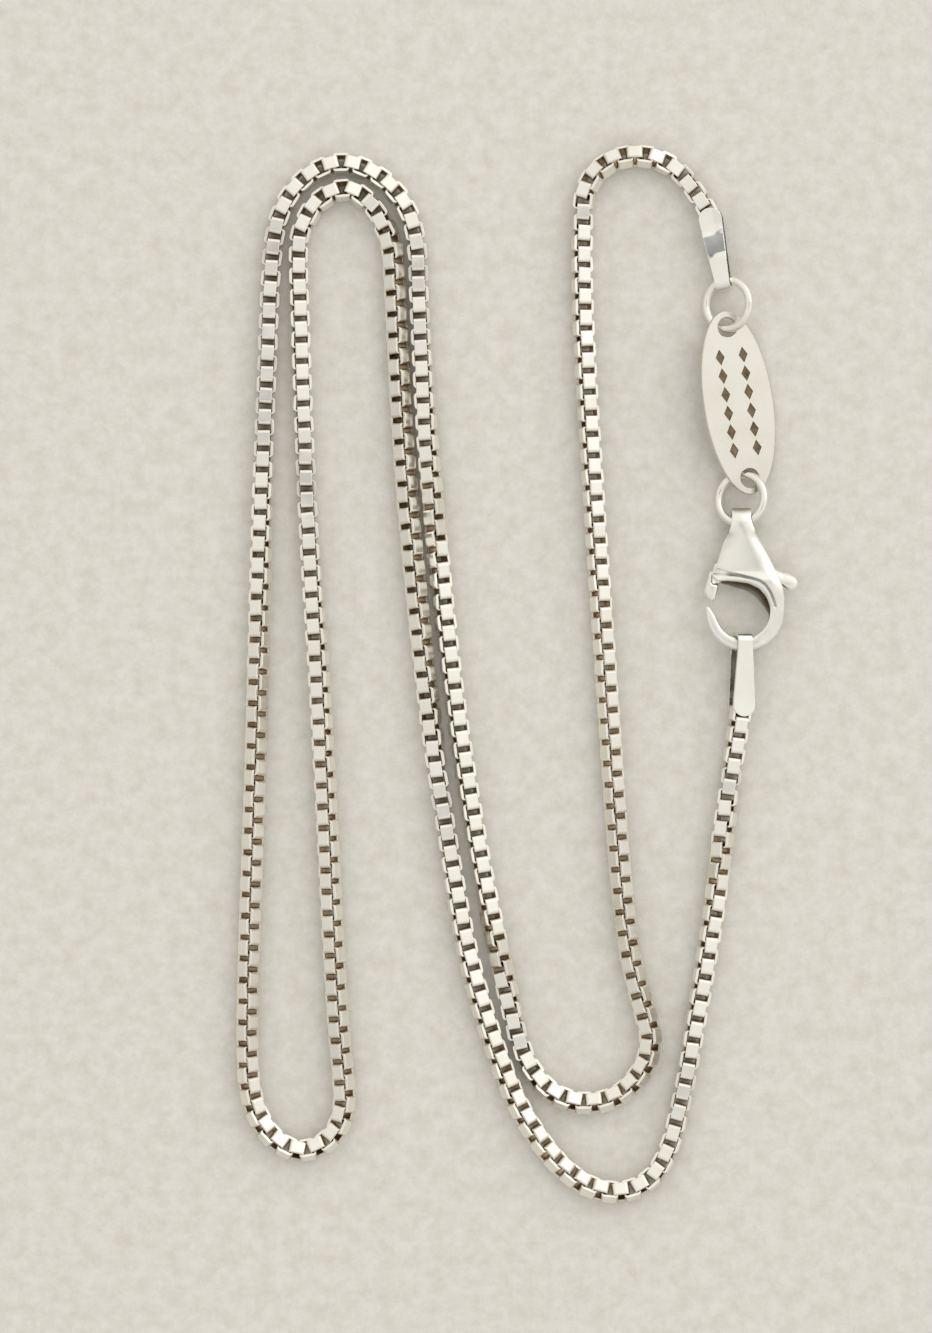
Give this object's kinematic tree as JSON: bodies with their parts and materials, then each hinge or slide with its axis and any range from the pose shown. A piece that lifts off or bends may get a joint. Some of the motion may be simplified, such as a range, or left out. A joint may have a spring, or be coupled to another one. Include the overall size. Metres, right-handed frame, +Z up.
{
  "type": "box chain necklace",
  "caption": "Closed fine box chain necklace lying in long narrow loops, joined by a small lobster clasp, jump rings, end caps and a plain oval tag.",
  "frame": {"origin": "middle of the bounding box, at the table surface that the necklace lies on", "axes": "+Y along the long loops, +X across them towards the clasp, +Z up from the table"},
  "size_m": [0.0401, 0.0754, 0.0025],
  "materials": {
    "chain": "polished silver",
    "fittings": "polished silver",
    "tag": "polished silver",
    "pin": "satin silver"
  },
  "bodies": {
    "necklace": {"chain_a": "chain", "chain_b": "chain", "end_cap_a": "fittings", "end_cap_b": "fittings", "jump_ring_a": "fittings", "jump_ring_b": "fittings", "tag_plate": "tag", "clasp_body": "fittings", "hinge_pin": "pin"},
    "gate": {"clasp_gate": "fittings"}
  },
  "joints": [
    {"name": "gate_hinge", "type": "hinge", "parent": "necklace", "child": "gate", "pos_m": [0.01728, 0.00703, 0.0012], "axis": [0, 0, 1], "range_deg": [0, 30], "stiffness_Nm_per_rad": 0.0004, "springref_deg": -28.65}
  ]
}
